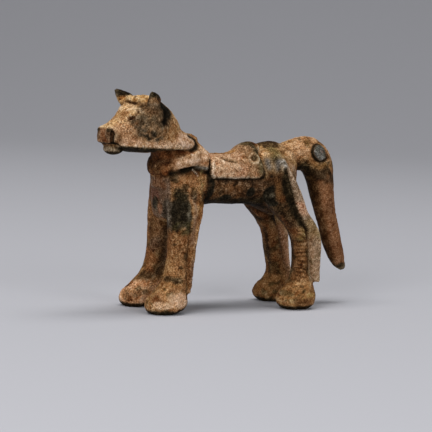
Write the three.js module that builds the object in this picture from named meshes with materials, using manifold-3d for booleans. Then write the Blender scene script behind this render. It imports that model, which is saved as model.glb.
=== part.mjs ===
import * as THREE from "three";
import { LoftGeometry } from "three/addons/geometries/LoftGeometry.js";
import { mergeVertices } from "three/addons/utils/BufferGeometryUtils.js";
import Module from "manifold-3d";

// A small cast horse, standing on its four hooves. Millimetres, up is +Z.
// The head points to -X and the horse's own left side to -Y.

// Driving dimensions
const HEAD_TURN = THREE.MathUtils.degToRad(16);
const HEAD_PIVOT = [-24, 0, 0];
const SECTION_SIDES = 20;
const LEG_SIDES = 14;
const STRAP_SIDES = 8;
const EAR_SIDES = 10;

// How round the ends of a body are: how far each rounded ring is pushed out, as a share of the dome
const DOME_RINGS = [0.97, 0.78, 0.42];

// The right legs don't quite mirror the left ones: how far along X they are moved at the sole
// and up the leg, with a smooth change between two heights
const UPRIGHT = { sole: 0, leg: 0, from: 0, to: 1 };
const RIGHT_FORE_LEAN = { sole: -0.9, leg: 0.5, from: 0, to: 16 };
const RIGHT_HIND_LEAN = { sole: 1.4, leg: -2.1, from: 7.5, to: 22 };
const RIGHT_RIDGE_LEAN = { sole: 0, leg: -1.8, from: 10, to: 19 };

// The raised disc near the root of the tail, in the ring groove round it
const DISC = {
  centre: [33.8, -5.1, 54.5],
  radius: 2.8,
  groove: 0.8,
  depth: 0.9,
  sides: 24,
  tilt: THREE.MathUtils.degToRad(15),
  turn: THREE.MathUtils.degToRad(12),
};

// The slits of the nostrils, in the head's frame
const NOSTRIL = { forward: 28.3, sideways: 3.7, up: 59.3, wide: 1.3, tall: 4.2, deep: 1.5 };

// Rounded lumps in the head's frame: the chin, and the nape that fills the rein behind
const CHIN = { forward: 24.2, up: 55.4, radii: [3.6, 3.4, 2.1] };
const NAPE = { forward: -3.8, up: 57.7, radii: [6, 6.4, 3.2] };

// The breast collar round the base of the neck: its centre, its reach and its section in front,
// with the rise and the extra height that it has behind, and how early each of them comes
const COLLAR = {
  x: -20.9,
  z: 47.8,
  reachX: 7.8,
  reachY: 8.5,
  rise: 4.6,
  riseBend: 0.4,
  high: 2.4,
  swell: 2.5,
  swellBend: 4,
  thick: 1.6,
};

// Upright sections of the trunk: x, top, bottom, half width, height of the widest line as a
// share of the whole, squareness
const TRUNK = [
  [-26.4, 49, 31.5, 5.8, 0.5, 2.6],
  [-23.4, 54, 29.8, 7.8, 0.5, 2.6],
  [-19, 57.6, 31, 9, 0.45, 2.4],
  [-13, 57.4, 35, 8.7, 0.42, 2.3],
  [-9, 54.1, 36.1, 8.5, 0.48, 2.3],
  [-4, 52.4, 36.2, 8, 0.5, 2.3],
  [1, 52.5, 35.9, 7.9, 0.5, 2.3],
  [6, 54.6, 36.1, 8.2, 0.5, 2.3],
  [11.6, 57, 34.6, 8.9, 0.5, 2.2],
  [16, 58.1, 32.6, 9.7, 0.5, 2.2],
  [20, 57.2, 32, 9.7, 0.5, 2.2],
  [23, 56.2, 36, 8, 0.5, 2.2],
  [24.8, 54.6, 42, 5, 0.5, 2.1],
];

// Level sections of the neck: z, front x, rear x, half width, squareness
const NECK = [
  [64, -29, -23.6, 5.4, 2.2],
  [61.6, -28.8, -20.6, 6.4, 2.3],
  [59.6, -28.8, -15.8, 6.8, 2.4],
  [56.8, -28.9, -14, 7.7, 2.4],
  [53.2, -29, -12, 8.6, 2.3],
  [48.5, -29.2, -10.8, 8.4, 2.2],
  [42, -28.4, -12, 8.6, 2.2],
];

// Upright sections of the head, from the nape forward:
// distance forward, then the columns of the trunk
const HEAD = [
  [-1.8, 62.4, 57, 5.2, 0.45, 2.2],
  [0.6, 66.5, 55, 7.2, 0.42, 2.3],
  [4, 69.8, 54.1, 8.1, 0.4, 2.4],
  [8, 72.3, 53.8, 8.5, 0.38, 2.5],
  [12, 73.2, 53.8, 8.5, 0.36, 2.5],
  [16, 71.7, 54, 7.7, 0.36, 2.5],
  [20, 68.2, 54.5, 6.5, 0.36, 2.5],
  [24, 64.8, 55.7, 5.1, 0.4, 2.5],
  [27, 63.3, 56.5, 4.4, 0.45, 2.8],
  [28.6, 62.8, 56.9, 4, 0.5, 3],
];

// Level sections of a fore leg: z, front x, rear x, y, half width, squareness
const FORE_LEG = [
  [50, -26.8, -12.8, 4, 4, 2.5],
  [44, -27.2, -12.5, 5.1, 4.7, 2.5],
  [38, -26.8, -13.5, 6.6, 4.6, 2.4],
  [32, -26.6, -15.8, 7.7, 4.3, 2.2],
  [26, -26.2, -17.8, 8.2, 4.1, 2.2],
  [20, -26.1, -18.9, 8.3, 4, 2.2],
  [14, -26.9, -19.2, 8.5, 4.2, 2.2],
  [10, -29, -19.3, 8.8, 4.7, 2.2],
  [6.5, -32.4, -19.4, 9.1, 5.3, 2.2],
  [3.4, -34.2, -19.3, 9.3, 5.7, 2.3],
  [1.1, -33.6, -21, 9.3, 5, 2.3],
  [0, -32.2, -24.4, 9.3, 3.6, 2.3],
];

// The raised ridge down the back of a fore leg, in the same columns
const FORE_RIDGE = [
  [43, -16, -13.6, 6.4, 1.2, 3],
  [36, -17.6, -13.5, 8.4, 1.6, 3.5],
  [30, -18.8, -15.1, 9, 1.6, 3.5],
  [24, -19.6, -16.2, 9.3, 1.6, 3.5],
  [18, -20.2, -16.8, 9.4, 1.6, 3.5],
  [12, -20.7, -17.3, 9.5, 1.6, 3.5],
  [6.6, -20.8, -17.9, 9.5, 1.5, 3.5],
];

// Level sections of a hind leg, in the same columns
const HIND_LEG = [
  [50, 12, 22.6, 3.6, 3.8, 2.2],
  [45, 10.6, 23, 4.6, 4.6, 2.2],
  [40, 9.8, 22.8, 5.9, 4.7, 2.2],
  [35, 13.4, 24, 7, 4.5, 2.2],
  [30, 18.8, 25.8, 7.8, 4.2, 2.2],
  [25, 22.2, 27.6, 8.2, 4, 2.2],
  [20, 23, 28.8, 8.4, 3.9, 2.2],
  [14, 22.9, 29, 8.6, 4, 2.2],
  [10, 22, 30.1, 8.9, 4.6, 2.2],
  [6.5, 18.6, 31.2, 9.2, 5.3, 2.2],
  [3.4, 16.8, 31.5, 9.4, 5.7, 2.3],
  [1.1, 17.8, 30.2, 9.4, 5, 2.3],
  [0, 19.6, 28.2, 9.4, 3.6, 2.3],
];

// The broad ridge from the croup down over the hock, in the same columns
const HIND_RIDGE = [
  [54, 14.4, 17.2, 6.6, 1.6, 3],
  [50, 15.2, 18.6, 8.6, 1.7, 3.5],
  [45, 16.6, 21.6, 9.6, 1.8, 3.5],
  [40, 18.6, 24.4, 9.9, 1.8, 3.5],
  [34, 21.2, 27, 9.8, 1.7, 3.5],
  [29, 23.6, 31.3, 9.7, 1.7, 3.5],
  [24.6, 25.6, 33.2, 9.6, 1.7, 3.5],
  [19, 26.6, 33.4, 9.6, 1.7, 3.5],
  [9.2, 27.4, 33.4, 9.6, 1.6, 3.5],
];

// The tail's centre line, out of the croup and down: x, y, z, half depth, half breadth
const TAIL = [
  [18, 0, 50.5, 5.4, 5.1],
  [25, 0, 52.8, 5.6, 5],
  [31.2, 0, 53.7, 6.3, 5.3],
  [35.5, 0, 50.4, 6.1, 5.3],
  [37.6, 0, 44.4, 5.1, 4.7],
  [39.1, 0, 38, 4.4, 4.1],
  [41.5, 0, 30, 3.8, 3.5],
  [44.2, 0, 21.5, 3.6, 3.3],
  [46.9, 0, 15.6, 2.8, 2.6],
  [48.7, 0, 13, 1.5, 1.4],
];

// An ear in the head's frame: forward, sideways, up, half depth, half breadth
const EAR = [
  [10.8, 4, 66, 3.2, 1.5],
  [12.6, 6.2, 70.2, 3.4, 2.1],
  [14.7, 7.9, 72.6, 2.2, 1.5],
  [16.2, 8.9, 74.3, 0.7, 0.6],
];

// Half of the rein, from the corner of the mouth along the jaw, in the head's frame:
// forward, sideways, up, half height, half thickness
const REIN = [
  [25, 4.2, 56.8, 1, 1],
  [19, 6.2, 56.6, 1.5, 1.3],
  [12, 8, 56.5, 1.7, 1.4],
  [5, 8.2, 56.5, 1.8, 1.4],
  [-2, 7.2, 56.8, 2, 1.6],
  [-7.6, 4.6, 57.2, 2.4, 1.8],
];

// The middle of the rein, behind the neck, in the same columns
const REIN_MIDDLE = [-9.8, 0, 57.7, 2.6, 1.9];

// The brow band in front of the ears, in the head's frame:
// forward, sideways, up, half thickness, half height
const BROW = [
  [14, -6.6, 70, 1.2, 1.3],
  [15.6, -3.4, 71.1, 1.3, 1.5],
  [16, 0, 71.4, 1.3, 1.5],
  [15.6, 3.4, 71.1, 1.3, 1.5],
  [14, 6.6, 70, 1.2, 1.3],
];

// Upright sections of the saddle's padding, in the trunk's columns
const SADDLE = [
  [-15, 52.6, 38, 9, 0.5, 2.4],
  [-9, 53.7, 38, 8.9, 0.5, 2.4],
  [-3, 53.6, 38, 8.7, 0.5, 2.4],
  [1.6, 54.3, 38, 8.7, 0.5, 2.4],
  [4.2, 56.4, 38, 8.8, 0.5, 2.3],
  [7, 57.8, 38, 9, 0.5, 2.3],
  [9.4, 57.5, 38, 9.2, 0.5, 2.3],
  [12, 55.6, 38, 9.4, 0.5, 2.3],
];

const SIDEWAYS = new THREE.Vector3(0, 1, 0);
const FORWARD = new THREE.Vector3(1, 0, 0);
const UPWARD = new THREE.Vector3(0, 0, 1);

const wasm = await Module();
wasm.setup();

// One ring of points about a centre, on two half axes; higher squareness fills the corners.
// The half that lies against the first axis can have a length of its own.
function ring(centre, first, second, squareness, sides, against = first) {
  const points = [];
  for (let i = 0; i < sides; i++) {
    const angle = (2 * Math.PI * i) / sides;
    const c = Math.cos(angle);
    const s = Math.sin(angle);
    const p = Math.sign(c) * Math.abs(c) ** (2 / squareness);
    const q = Math.sign(s) * Math.abs(s) ** (2 / squareness);
    points.push(centre.clone().addScaledVector(p < 0 ? against : first, p).addScaledVector(second, q));
  }
  return points;
}

// Smooth values between the rows of a table, t from 0 at the first row to 1 at the last.
function rowAt(table, t) {
  const place = t * (table.length - 1);
  const i = Math.min(Math.floor(place), table.length - 2);
  const f = place - i;
  const before = table[Math.max(i - 1, 0)];
  const after = table[Math.min(i + 2, table.length - 1)];
  return table[i].map((value, k) => {
    const next = table[i + 1][k];
    const m0 = (next - before[k]) / 2;
    const m1 = (after[k] - value) / 2;
    const h = (2 * f - 3) * f * f;
    return value * (1 + h) - next * h + m0 * f * (1 - f) ** 2 - m1 * f * f * (1 - f);
  });
}

// Steps along a loft: even down its length, with rounded steps added at ends that are domed.
function loftSteps(rings, startDome, endDome) {
  const even = Array.from({ length: rings + 1 }, (_, i) => [i / rings, 0, 1]);
  const shrink = (push) => Math.sqrt(1 - push * push);
  const first = startDome ? DOME_RINGS.map((push) => [0, -push, shrink(push)]) : [];
  const last = endDome ? DOME_RINGS.toReversed().map((push) => [1, push, shrink(push)]) : [];
  return [...first, ...even, ...last];
}

// A closed solid from a loft geometry, with the faces that have shrunk to nothing dropped.
function solid(geometry) {
  const bare = new THREE.BufferGeometry();
  bare.setAttribute("position", geometry.getAttribute("position"));
  bare.setIndex(geometry.index);
  const merged = mergeVertices(bare, 1e-4);
  const index = merged.index.array;
  const triVerts = [];
  for (let i = 0; i < index.length; i += 3) {
    const [a, b, c] = [index[i], index[i + 1], index[i + 2]];
    if (a !== b && b !== c && c !== a) triVerts.push(a, b, c);
  }
  const vertProperties = new Float32Array(merged.attributes.position.array);
  const mesh = new wasm.Mesh({ numProp: 3, vertProperties, triVerts: new Uint32Array(triVerts) });
  return new wasm.Manifold(mesh);
}

const loft = (sections) => solid(new LoftGeometry(sections, { capStart: true, capEnd: true }));

// A body of level sections: z, front x, rear x, y, half width, squareness
function upright(table, { rings, sides, side = 1, lean = UPRIGHT }) {
  const sections = loftSteps(rings).map(([t]) => {
    const [z, front, rear, y, half, squareness] = rowAt(table, t);
    const moved = lean.sole + (lean.leg - lean.sole) * THREE.MathUtils.smoothstep(z, lean.from, lean.to);
    const centre = new THREE.Vector3((front + rear) / 2 + moved, side * y, z);
    const depth = FORWARD.clone().multiplyScalar(-(rear - front) / 2);
    return ring(centre, depth, SIDEWAYS.clone().multiplyScalar(half), squareness, sides);
  });
  return loft(sections);
}

// A body of upright sections along X, domed at its ends, from a table in the trunk's columns
function lengthwise(table, { rings, startDome = 0, endDome = 0 }) {
  const sections = loftSteps(rings, startDome, endDome).map(([t, push, scale]) => {
    const [x, top, bottom, half, waist, squareness] = rowAt(table, t);
    const reach = push * (push < 0 ? startDome : endDome);
    const tall = scale * (top - bottom);
    const middle = (top + bottom) / 2 + tall * (waist - 0.5);
    const down = UPWARD.clone().multiplyScalar(-tall * waist);
    const up = UPWARD.clone().multiplyScalar(-tall * (1 - waist));
    const across = SIDEWAYS.clone().multiplyScalar(scale * half);
    const centre = new THREE.Vector3(x + reach, 0, middle);
    return ring(centre, down, across, squareness, SECTION_SIDES, up);
  });
  return loft(sections);
}

// A bar swept along a path, its sections square to the path: x, y, z, half depth, half breadth.
// The breadth stays as near as it can to the given direction.
function bar(table, { rings, sides, breadth = SIDEWAYS, squareness = 2, startDome = 0, endDome = 0 }) {
  const beside = 0.01;
  const at = (t) => new THREE.Vector3(...rowAt(table, t).slice(0, 3));
  const sections = loftSteps(rings, startDome, endDome).map(([t, push, scale]) => {
    const along = at(Math.min(t + beside, 1));
    along.sub(at(Math.max(t - beside, 0))).normalize();
    const across = breadth.clone().addScaledVector(along, -breadth.dot(along)).normalize();
    const out = new THREE.Vector3().crossVectors(across, along);
    const [, , , deep, broad] = rowAt(table, t);
    const centre = at(t).addScaledVector(along, push * (push < 0 ? startDome : endDome));
    out.multiplyScalar(scale * deep);
    return ring(centre, out, across.multiplyScalar(scale * broad), squareness, sides);
  });
  return loft(sections);
}

// A strap round a closed loop: the path gives centre, half height and half thickness at an angle.
function hoop(path, { rings, sides, squareness }) {
  const beside = 0.05;
  const sections = [];
  for (let i = 0; i <= rings; i++) {
    const angle = (2 * Math.PI * i) / rings;
    const { centre, high, thick } = path(angle);
    const along = path(angle + beside).centre.sub(path(angle - beside).centre).normalize();
    const outward = new THREE.Vector3().crossVectors(along, UPWARD).normalize();
    const up = new THREE.Vector3().crossVectors(outward, along);
    up.multiplyScalar(high);
    sections.push(ring(centre, up, outward.multiplyScalar(thick), squareness, sides));
  }
  return solid(new LoftGeometry(sections));
}

// The saddle cloth seen from the side: front edge, lower edge, round rear corner, and the rear
// edge with its hollow under the raised cantle. It is pushed right through the trunk.
function saddleBlock() {
  const edge = new THREE.Shape();
  edge.moveTo(-14.6, 60);
  edge.bezierCurveTo(-13.4, 54, -12.6, 50, -11.4, 46.6);
  edge.quadraticCurveTo(-11, 45.3, -9.6, 45.3);
  edge.lineTo(7.4, 45.3);
  edge.quadraticCurveTo(10.8, 45.4, 10.4, 47.8);
  edge.bezierCurveTo(9.6, 50.4, 7.6, 52.2, 8.4, 54.8);
  edge.quadraticCurveTo(9, 56, 9.8, 57);
  edge.lineTo(9.8, 60);
  edge.closePath();
  const depth = 30;
  const block = new THREE.ExtrudeGeometry(edge, { depth, bevelEnabled: false, curveSegments: 6 });
  block.rotateX(Math.PI / 2);
  block.translate(0, depth / 2, 0);
  return solid(block);
}

function saddle() {
  return lengthwise(SADDLE, { rings: 14 }).intersect(saddleBlock());
}

// Round the base of the neck: low in front, rising and widening over the withers behind.
function collar() {
  const path = (angle) => {
    const back = (1 + Math.cos(angle)) / 2;
    const x = COLLAR.x + COLLAR.reachX * Math.cos(angle);
    const y = COLLAR.reachY * Math.sin(angle);
    const centre = new THREE.Vector3(x, y, COLLAR.z + COLLAR.rise * back ** COLLAR.riseBend);
    const high = COLLAR.high + COLLAR.swell * back ** COLLAR.swellBend;
    return { centre, high, thick: COLLAR.thick };
  };
  return hoop(path, { rings: 26, sides: STRAP_SIDES, squareness: 2.4 });
}

// From the corners of the mouth along both jaws and round the back of the neck.
function rein() {
  const rightHalf = REIN.toReversed().map(([a, l, z, high, thick]) => [a, -l, z, high, thick]);
  const rows = [...REIN, REIN_MIDDLE, ...rightHalf];
  const placed = rows.map(([a, l, z, high, thick]) => [-a, -l, z, thick, high]);
  const shape = { rings: 36, sides: STRAP_SIDES, squareness: 2.4, startDome: 0.8, endDome: 0.8 };
  return bar(placed, { ...shape, breadth: UPWARD });
}

function lump({ forward, up, radii }) {
  const ball = new THREE.SphereGeometry(1, 14, 8);
  ball.scale(...radii);
  ball.translate(-forward, 0, up);
  return solid(ball);
}

function ear(side) {
  const rows = EAR.map(([a, l, z, deep, broad]) => [-a, side * l, z, deep, broad]);
  return bar(rows, { rings: 8, sides: EAR_SIDES, endDome: 0.4 });
}

// The cutter of a nostril, an upright slit across the corner of the muzzle
function nostril(side) {
  const slot = new THREE.BoxGeometry(2 * NOSTRIL.deep, NOSTRIL.wide, NOSTRIL.tall);
  slot.rotateZ((side * -Math.PI) / 4);
  slot.translate(-NOSTRIL.forward, side * NOSTRIL.sideways, NOSTRIL.up);
  return solid(slot);
}

function browBand() {
  const rows = BROW.map(([a, l, z, thick, high]) => [-a, l, z, thick, high]);
  return bar(rows, { rings: 12, sides: STRAP_SIDES, breadth: UPWARD });
}

// The head with all that is on it, built facing -X about the pivot and then turned.
function head() {
  const skull = HEAD.map(([forward, ...rest]) => [-forward, ...rest]).toReversed();
  let made = lengthwise(skull, { rings: 20, startDome: 0.6, endDome: 0.8 });
  made = made.add(lump(CHIN)).add(lump(NAPE)).add(rein());
  for (const side of [-1, 1]) {
    made = made.add(ear(side)).subtract(nostril(side));
  }
  made = made.add(browBand());
  return made.rotate([0, 0, THREE.MathUtils.radToDeg(HEAD_TURN)]).translate(HEAD_PIVOT);
}

// A short round peg, square to the disc's face, between two heights off that face.
function peg(radius, below, above) {
  const round = new THREE.CylinderGeometry(radius, radius, above - below, DISC.sides);
  round.translate(0, (above + below) / 2, 0);
  round.rotateX(Math.PI - DISC.tilt);
  round.rotateZ(DISC.turn);
  round.translate(...DISC.centre);
  return solid(round);
}

// The tail, a little deeper than it is broad, with the disc on the left side of its bend.
function tail() {
  const made = bar(TAIL, { rings: 25, sides: LEG_SIDES, endDome: 1.2 });
  const groove = peg(DISC.radius + DISC.groove, -DISC.depth, 4);
  return made.subtract(groove).add(peg(DISC.radius, -DISC.depth - 1, 0));
}

// The left legs are at side -1 and the right legs at side 1, each with its raised ridge behind.
function legs() {
  const made = [];
  for (const side of [-1, 1]) {
    const right = side > 0;
    const leg = { sides: LEG_SIDES, side };
    const ridge = { sides: STRAP_SIDES, side };
    made.push(upright(FORE_LEG, { ...leg, rings: 18, lean: right ? RIGHT_FORE_LEAN : UPRIGHT }));
    made.push(upright(FORE_RIDGE, { ...ridge, rings: 8 }));
    made.push(upright(HIND_LEG, { ...leg, rings: 18, lean: right ? RIGHT_HIND_LEAN : UPRIGHT }));
    made.push(upright(HIND_RIDGE, { ...ridge, rings: 12, lean: right ? RIGHT_RIDGE_LEAN : UPRIGHT }));
  }
  return made;
}

function trunk() {
  return lengthwise(TRUNK, { rings: 24, startDome: 1, endDome: 1 });
}

function neck() {
  const rows = NECK.map(([z, front, rear, half, squareness]) => [z, front, rear, 0, half, squareness]);
  return upright(rows, { rings: 10, sides: SECTION_SIDES });
}

function horse() {
  const parts = [neck(), collar(), head(), saddle(), ...legs(), tail()];
  return parts.reduce((made, part) => made.add(part), trunk());
}

// Sets the middle of the footprint on the origin, with the soles on the floor.
function centred(made) {
  const { min, max } = made.boundingBox();
  return made.translate([-(min[0] + max[0]) / 2, -(min[1] + max[1]) / 2, -min[2]]);
}

function meshOf(made) {
  const { numProp, vertProperties, triVerts } = made.getMesh();
  const geometry = new THREE.BufferGeometry();
  const positions = new THREE.InterleavedBuffer(vertProperties, numProp);
  geometry.setAttribute("position", new THREE.InterleavedBufferAttribute(positions, 3, 0));
  geometry.setIndex(new THREE.BufferAttribute(triVerts, 1));
  return geometry;
}

const bronze = new THREE.MeshStandardMaterial({ color: 0x8a6844, roughness: 0.8, metalness: 0.3 });
const body = new THREE.Mesh(meshOf(centred(horse())), bronze);
body.name = "horse";

const group = new THREE.Group();
group.name = "horse_statuette";
group.add(body);

export default group;
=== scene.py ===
import itertools

import bmesh
import bpy
import numpy as np
from mathutils import Euler, Matrix


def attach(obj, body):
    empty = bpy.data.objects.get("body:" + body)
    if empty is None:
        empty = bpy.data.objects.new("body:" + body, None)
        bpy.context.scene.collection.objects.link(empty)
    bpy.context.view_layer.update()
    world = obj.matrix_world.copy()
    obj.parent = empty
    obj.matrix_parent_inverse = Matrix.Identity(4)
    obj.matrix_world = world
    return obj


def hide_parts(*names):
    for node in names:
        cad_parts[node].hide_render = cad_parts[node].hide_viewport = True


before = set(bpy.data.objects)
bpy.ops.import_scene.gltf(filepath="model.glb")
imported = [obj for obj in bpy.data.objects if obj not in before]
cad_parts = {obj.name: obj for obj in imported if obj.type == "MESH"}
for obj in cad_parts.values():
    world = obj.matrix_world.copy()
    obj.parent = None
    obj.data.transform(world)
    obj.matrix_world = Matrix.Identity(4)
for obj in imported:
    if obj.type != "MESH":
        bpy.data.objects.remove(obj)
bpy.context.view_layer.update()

# The view of the horse: from its left and a little in front of its shoulder, just above its back,
# through a long lens. The camera is rolled a little, so that the near hooves stand lower.
MM = 0.001
AIM = np.array([-2.58, 0.0, 31.8])
DISTANCE = 622
AZIMUTH = np.radians(-29)
ELEVATION = np.radians(5.8)
ROLL = np.radians(2.5)

backward = np.array([
    np.sin(AZIMUTH) * np.cos(ELEVATION),
    -np.cos(AZIMUTH) * np.cos(ELEVATION),
    np.sin(ELEVATION),
])
level = np.array([np.cos(AZIMUTH), np.sin(AZIMUTH), 0.0])
upward = np.cross(backward, level)
right = np.cos(ROLL) * level + np.sin(ROLL) * upward
upright = np.cos(ROLL) * upward - np.sin(ROLL) * level
stand = np.eye(4)
stand[:3, :3] = np.column_stack([right, upright, backward])
stand[:3, 3] = (AIM + DISTANCE * backward) * MM

lens = bpy.data.cameras.new("camera")
lens.lens = 150
lens.sensor_width = 36
lens.clip_start = 0.01
lens.clip_end = 20
camera = bpy.data.objects.new("camera", lens)
camera.matrix_world = Matrix(stand.tolist())
bpy.context.scene.collection.objects.link(camera)
bpy.context.scene.camera = camera

# The horse is one solid casting of bronze. Its skin starts as an even net of small squares
# on the form of the solid, with the facets worn away, for the carving and corrosion to be cut into.
PITCH = 0.42
WEAR_STEPS = 7
WEAR_SHARE = 0.6


def even_net(node, pitch):
    """A copy of the node's mesh with its doubles merged, covered by squares of the given side."""
    blank = bpy.data.objects.new("blank", node.data.copy())
    bpy.context.scene.collection.objects.link(blank)
    form = bmesh.new()
    form.from_mesh(blank.data)
    bmesh.ops.remove_doubles(form, verts=form.verts, dist=0.001 * MM)
    form.to_mesh(blank.data)
    form.free()
    remesh = blank.modifiers.new("even", "REMESH")
    remesh.mode = "VOXEL"
    remesh.voxel_size = pitch * MM
    seen = blank.evaluated_get(bpy.context.evaluated_depsgraph_get())
    net = bpy.data.meshes.new_from_object(seen)
    bpy.data.objects.remove(blank)
    return net


def read(collection, field, kind, width):
    """One field of a mesh's collection as rows of numbers."""
    values = np.empty(len(collection) * width, dtype=kind)
    collection.foreach_get(field, values)
    return values.reshape(-1, width)


skin = even_net(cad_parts["horse"], PITCH)
points = read(skin.vertices, "co", np.float32, 3).astype(float) / MM
edges = read(skin.edges, "vertices", np.int32, 2)
squares = read(skin.loops, "vertex_index", np.int32, 1).reshape(-1, 4)
count = len(points)
neighbours = np.bincount(edges.ravel(), minlength=count)[:, None]


def gathered(index, values):
    """Sum of the rows of values that share each index, for every point of the skin."""
    return np.stack([np.bincount(index, column, count) for column in values.T], axis=1)


def spread(values, steps, share=WEAR_SHARE):
    """Values moved a share of the way to the mean of their neighbours, several times over."""
    for _ in range(steps):
        beside = gathered(edges[:, 0], values[edges[:, 1]]) + gathered(edges[:, 1], values[edges[:, 0]])
        values = values + share * (beside / neighbours - values)
    return values


def facing(places):
    """Outward unit normals of the skin, from the crossed diagonals of its squares."""
    corners = places[squares]
    area = np.cross(corners[:, 2] - corners[:, 0], corners[:, 3] - corners[:, 1])
    total = sum(gathered(squares[:, k], area) for k in range(4))
    return total / np.linalg.norm(total, axis=1, keepdims=True)


def ease(start, end, value):
    """0 at start and 1 at end, by 3t² - 2t³ of the share t of the way between them."""
    t = np.clip((value - start) / (end - start), 0, 1)
    return t * t * (3 - 2 * t)


# Worn twice, the second time on what the first took away, so that the form keeps its size.
worn = spread(points, WEAR_STEPS)
points = worn + spread(points - worn, WEAR_STEPS)

# Above the rein the jaw was smoothed down into it in the wax, so that only its lower edge is sharp.
HEAD_TURN = np.radians(16)
HEAD_PIVOT_X = -22.68
JAW_STEPS = 37


def on_head(rows):
    """Places given in the head's own frame: forward, to its left, and up, in mm."""
    forward, aside, height = np.array(rows, dtype=float).T
    across = HEAD_PIVOT_X - forward * np.cos(HEAD_TURN) + aside * np.sin(HEAD_TURN)
    deep = -forward * np.sin(HEAD_TURN) - aside * np.cos(HEAD_TURN)
    return np.stack([across, deep, height], axis=1)


def head_frame():
    """How far forward and to the left each point is, in the head's own frame."""
    from_pivot = points[:, :2] - [HEAD_PIVOT_X, 0]
    forward = -from_pivot[:, 0] * np.cos(HEAD_TURN) - from_pivot[:, 1] * np.sin(HEAD_TURN)
    aside = from_pivot[:, 0] * np.sin(HEAD_TURN) - from_pivot[:, 1] * np.cos(HEAD_TURN)
    return forward, aside


forward, aside = head_frame()
jaw = ease(56.4, 57.4, points[:, 2]) * ease(63.5, 60.5, points[:, 2]) * ease(-9, -5, forward)
jaw *= ease(26.5, 24, forward) * ease(2.5, 4.5, abs(aside))
points += jaw[:, None] * (spread(points, JAW_STEPS) - points)

normals = facing(points)
x, y, z = points.T
forward, aside = head_frame()
relief = np.zeros(count)
paint = np.zeros((count, 3))

# Bronze that has lain in the ground: the colours of its crusts, as they look in a soft white light,
# and broad changes between them over the whole casting.
LATTICE = 61
SKEW = np.array(Euler((0.6, 0.9, 0.4)).to_matrix())
TAN = (196, 156, 116)
GOLD = (184, 138, 84)
BROWN = (128, 86, 50)
RUST = (98, 54, 27)
UMBER = (64, 40, 19)
BLACK = (27, 20, 10)
OLIVE = (86, 70, 38)
GREY = (108, 100, 88)
SLATE = (62, 54, 42)


def lumps(cell, seed):
    """Smooth noise from -1 to 1: random values on a skewed lattice, in cells of a size in mm,
    blended by 3f² - 2f³ of the share f of the way across a cell."""
    table = np.random.default_rng(seed).uniform(-1, 1, (LATTICE,) * 3)
    place = points @ SKEW / cell
    base = np.floor(place).astype(int)
    blend = (place - base) ** 2 * (3 - 2 * (place - base))
    total = np.zeros(count)
    for corner in itertools.product((0, 1), repeat=3):
        i, j, k = ((base + corner) % LATTICE).T
        total += np.prod(np.where(corner, blend, 1 - blend), axis=1) * table[i, j, k]
    return total


def coat(colour, mask):
    """Covers what is painted so far with a colour, by a share from 0 to 1 at each point."""
    paint[:] += np.clip(mask, 0, 1)[:, None] * (np.array(colour) - paint)


broad, mid, small = lumps(5, 2), lumps(2.4, 3), lumps(1.1, 4)
ragged = 0.6 * mid + 0.4 * small
paint[:] = BROWN
coat(GOLD, 0.3 + 0.4 * broad + 0.3 * mid)
coat(RUST, 0.7 * ease(0.05, 0.6, lumps(6, 5)))
coat(UMBER, 0.5 * ease(0.1, 0.7, lumps(3.6, 6) + 0.4 * small))
coat(OLIVE, 0.45 * ease(0.2, 0.7, lumps(3.2, 7)))

# The carving was cut in the wax before casting. A cut or a raised line follows a path on the skin,
# and a hollow or a patch of corrosion has a place and three reaches.
PATH_STEP = 0.2
PATH_SMOOTHINGS = 4
LAID_REACH = 3.5
MIRRORED = np.array([1, -1, 1])


def smooth_path(knots):
    """Points about a step apart on the Catmull-Rom curve through the knots."""
    knots = np.asarray(knots, dtype=float)
    ends = np.vstack([2 * knots[0] - knots[1], knots, 2 * knots[-1] - knots[-2]])
    stretches = []
    for a, b, c, d in zip(ends, ends[1:], ends[2:], ends[3:]):
        steps = max(int(np.linalg.norm(c - b) / PATH_STEP), 2)
        t = np.linspace(0, 1, steps, endpoint=False)[:, None]
        bend = (2 * a - 5 * b + 4 * c - d) * t ** 2 + (3 * b - a - 3 * c + d) * t ** 3
        stretches.append(b + ((c - a) * t + bend) / 2)
    return np.vstack([*stretches, knots[-1:]])


def stroke(knots, width, ragging=0.15):
    """exp(-(d / width)²), with d the distance in mm from a path that is laid on the skin: each of
    its points moves to the nearest one of the skin, and the steps between them are evened out."""
    path = smooth_path(knots)
    inside = (points > path.min(axis=0) - LAID_REACH) & (points < path.max(axis=0) + LAID_REACH)
    close = np.flatnonzero(inside.all(axis=1))
    gaps = np.linalg.norm(points[close][:, None] - path, axis=2)
    path = points[close[np.argmin(gaps, axis=0)]]
    for _ in range(PATH_SMOOTHINGS):
        path[1:-1] = (path[:-2] + 2 * path[1:-1] + path[2:]) / 4
    gaps = np.linalg.norm(points[close][:, None] - path, axis=2).min(axis=1)
    shade = np.zeros(count)
    shade[close] = np.exp(-((gaps + ragging * ragged[close]) / width) ** 2)
    return shade


def both(knots, width, ragging=0.15):
    """A stroke on the left side of the body and its mirror image on the right."""
    knots = np.asarray(knots, dtype=float)
    return np.maximum(stroke(knots, width, ragging), stroke(knots * MIRRORED, width, ragging))


def both_on_head(rows, width, ragging=0.15):
    """A stroke on the left side of the head, given in its own frame, and its mirror image."""
    rows = np.asarray(rows, dtype=float)
    left = stroke(on_head(rows), width, ragging)
    return np.maximum(left, stroke(on_head(rows * MIRRORED), width, ragging))


def spot(place, reach, fade=0.5, ragging=0.35):
    """1 inside an ellipsoid about a place, with three reaches in mm, easing to 0 outside it where
    the distance, as a share of the reaches, passes 1 by the fade."""
    away = np.linalg.norm((points - place) / reach, axis=1) + ragging * ragged
    return ease(1 + fade, 1, away)


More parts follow.
